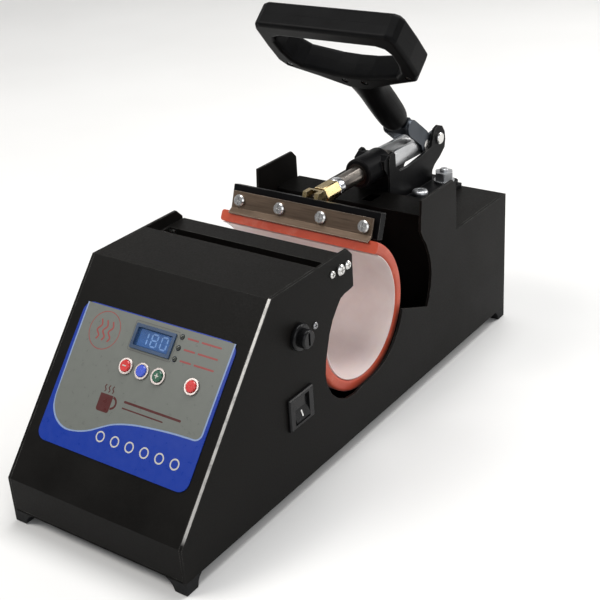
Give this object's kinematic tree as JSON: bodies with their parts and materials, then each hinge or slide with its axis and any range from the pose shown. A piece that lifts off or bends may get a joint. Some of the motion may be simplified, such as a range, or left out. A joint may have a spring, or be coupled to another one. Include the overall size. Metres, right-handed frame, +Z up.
{
  "type": "mug heat press",
  "caption": "Bench heat press that clamps a printed sleeve round a mug: wrap-round heater in a sheet-metal cradle, push-pull toggle clamp with loop handle, sloping control panel.",
  "frame": {"origin": "centre of the mug seat, on the axis of the wrap-round heater, midway between the side plates; the feet stand at z = -0.086", "axes": "+Z up, +Y from the control panel towards the clamp at the rear, +X towards the side with the switch and fuse; the mug lies along X"},
  "size_m": [0.1505, 0.4014, 0.2663],
  "materials": {
    "black_powder_coat": "satin black powder coat",
    "panel_print": "printed polycarbonate overlay",
    "stainless_strip": "brushed stainless",
    "bright_steel": "bright zinc plating",
    "dark_fasteners": "zinc-plated fasteners",
    "blued_steel": "dark blued steel",
    "yellow_zinc": "yellow zinc plating",
    "bronze": "sintered bronze",
    "grip_plastic": "textured moulded nylon",
    "orange_silicone": "moulded silicone rubber",
    "pale_liner": "thin smooth facing",
    "braided_sleeve": "braided glass-fibre sleeve",
    "black_rubber": "moulded rubber",
    "display_glass": "clear window",
    "display_backlight": "backlit digit module",
    "bezel_metal": "bright trim",
    "lamp_red": "tinted lens",
    "button_red": "moulded cap",
    "button_blue": "moulded cap",
    "button_green": "moulded cap",
    "board_green": "solder-masked laminate",
    "nylon": "natural nylon",
    "tact_black": "moulded plastic",
    "fuse_glass": "glass tube",
    "core_iron": "varnished laminations"
  },
  "bodies": {
    "housing": {"band_end_screws": "bright_steel", "base_tray": "black_powder_coat", "board_spacers": "nylon", "button_collars": "bezel_metal", "case_screws": "dark_fasteners", "clamp_frame": "black_powder_coat", "clamp_spacer": "black_powder_coat", "control_board": "board_green", "display_bezel": "bezel_metal", "display_module": "display_backlight", "display_window": "display_glass", "foot_screws": "dark_fasteners", "frame_bolts": "dark_fasteners", "frame_nuts": "dark_fasteners", "front_bar": "black_powder_coat", "front_bar_screws": "bright_steel", "front_bulkhead": "black_powder_coat", "front_cover": "black_powder_coat", "fuse": "fuse_glass", "fuse_holder": "tact_black", "heater_band": "orange_silicone", "heater_lead_sleeve": "braided_sleeve", "heater_pad": "pale_liner", "indicator_lamps": "lamp_red", "lever_pivot_pin": "bright_steel", "mains_cable": "black_rubber", "panel_overlay": "panel_print", "plunger_bush": "bronze", "power_inlet": "tact_black", "rear_bridge": "black_powder_coat", "rear_cover": "black_powder_coat", "rubber_feet": "black_rubber", "side_plate_left": "black_powder_coat", "side_plate_right": "black_powder_coat", "solid_state_relay": "tact_black", "switch_housing": "tact_black", "tact_switches": "tact_black", "terminal_block": "nylon", "transformer_core": "core_iron"},
    "lever": {"lever_arm": "blued_steel", "lever_link_pin": "bright_steel", "handle_shell_front": "grip_plastic", "handle_shell_rear": "grip_plastic", "handle_screws": "dark_fasteners"},
    "links": {"link_pair": "bright_steel"},
    "press": {"plunger_rod": "bright_steel", "plunger_pin": "bright_steel", "adjuster_spindle": "bright_steel", "lock_collar": "bright_steel", "press_lug": "black_powder_coat", "press_bar": "black_powder_coat", "press_strip": "stainless_strip", "strip_screws": "bright_steel"},
    "pressure_nut": {"adjuster_nut": "yellow_zinc"},
    "key_minus": {"button_minus": "button_red"},
    "key_set": {"button_set": "button_blue"},
    "key_plus": {"button_plus": "button_green"},
    "key_start": {"button_start": "button_red"},
    "rocker": {"switch_rocker": "tact_black"},
    "fuse_carrier": {"fuse_cap": "tact_black"}
  },
  "joints": [
    {"name": "lever_swing", "type": "hinge", "parent": "housing", "child": "lever", "pos_m": [0, 0.195, 0.055], "axis": [-1, 0, 0], "range_deg": [0, 90]},
    {"name": "press_slide", "type": "slide", "parent": "housing", "child": "press", "axis": [0, 1, 0], "range_m": [0, 0.01551], "deforming": ["heater_band"]},
    {"name": "link_swing", "type": "hinge", "parent": "lever", "child": "links", "pos_m": [0, 0.1806, 0.0535], "axis": [1, 0, 0], "range_deg": [0, 112.88]},
    {"name": "nut_turn", "type": "hinge", "parent": "press", "child": "pressure_nut", "pos_m": [0, 0.0595, 0.055], "axis": [0, 1, 0], "continuous": true},
    {"name": "key_minus_press", "type": "slide", "parent": "housing", "child": "key_minus", "axis": [0, 0.7602, -0.6497], "range_m": [0, 0.001], "stiffness_N_per_m": 800},
    {"name": "key_set_press", "type": "slide", "parent": "housing", "child": "key_set", "axis": [0, 0.7602, -0.6497], "range_m": [0, 0.001], "stiffness_N_per_m": 800},
    {"name": "key_plus_press", "type": "slide", "parent": "housing", "child": "key_plus", "axis": [0, 0.7602, -0.6497], "range_m": [0, 0.001], "stiffness_N_per_m": 800},
    {"name": "key_start_press", "type": "slide", "parent": "housing", "child": "key_start", "axis": [0, 0.7602, -0.6497], "range_m": [0, 0.001], "stiffness_N_per_m": 800},
    {"name": "rocker_tilt", "type": "hinge", "parent": "housing", "child": "rocker", "pos_m": [0.0674, -0.0805, -0.024], "axis": [0, 1, 0], "range_deg": [0, 18]},
    {"name": "fuse_cap_turn", "type": "hinge", "parent": "housing", "child": "fuse_carrier", "pos_m": [0.07, -0.077, 0.0235], "axis": [1, 0, 0], "range_deg": [0, 90]}
  ],
  "couplings": [
    {"joint": "press_slide", "follows": "lever_swing", "m_per_rad": 0.0098739},
    {"joint": "link_swing", "follows": "lever_swing", "ratio": 1.2542}
  ]
}
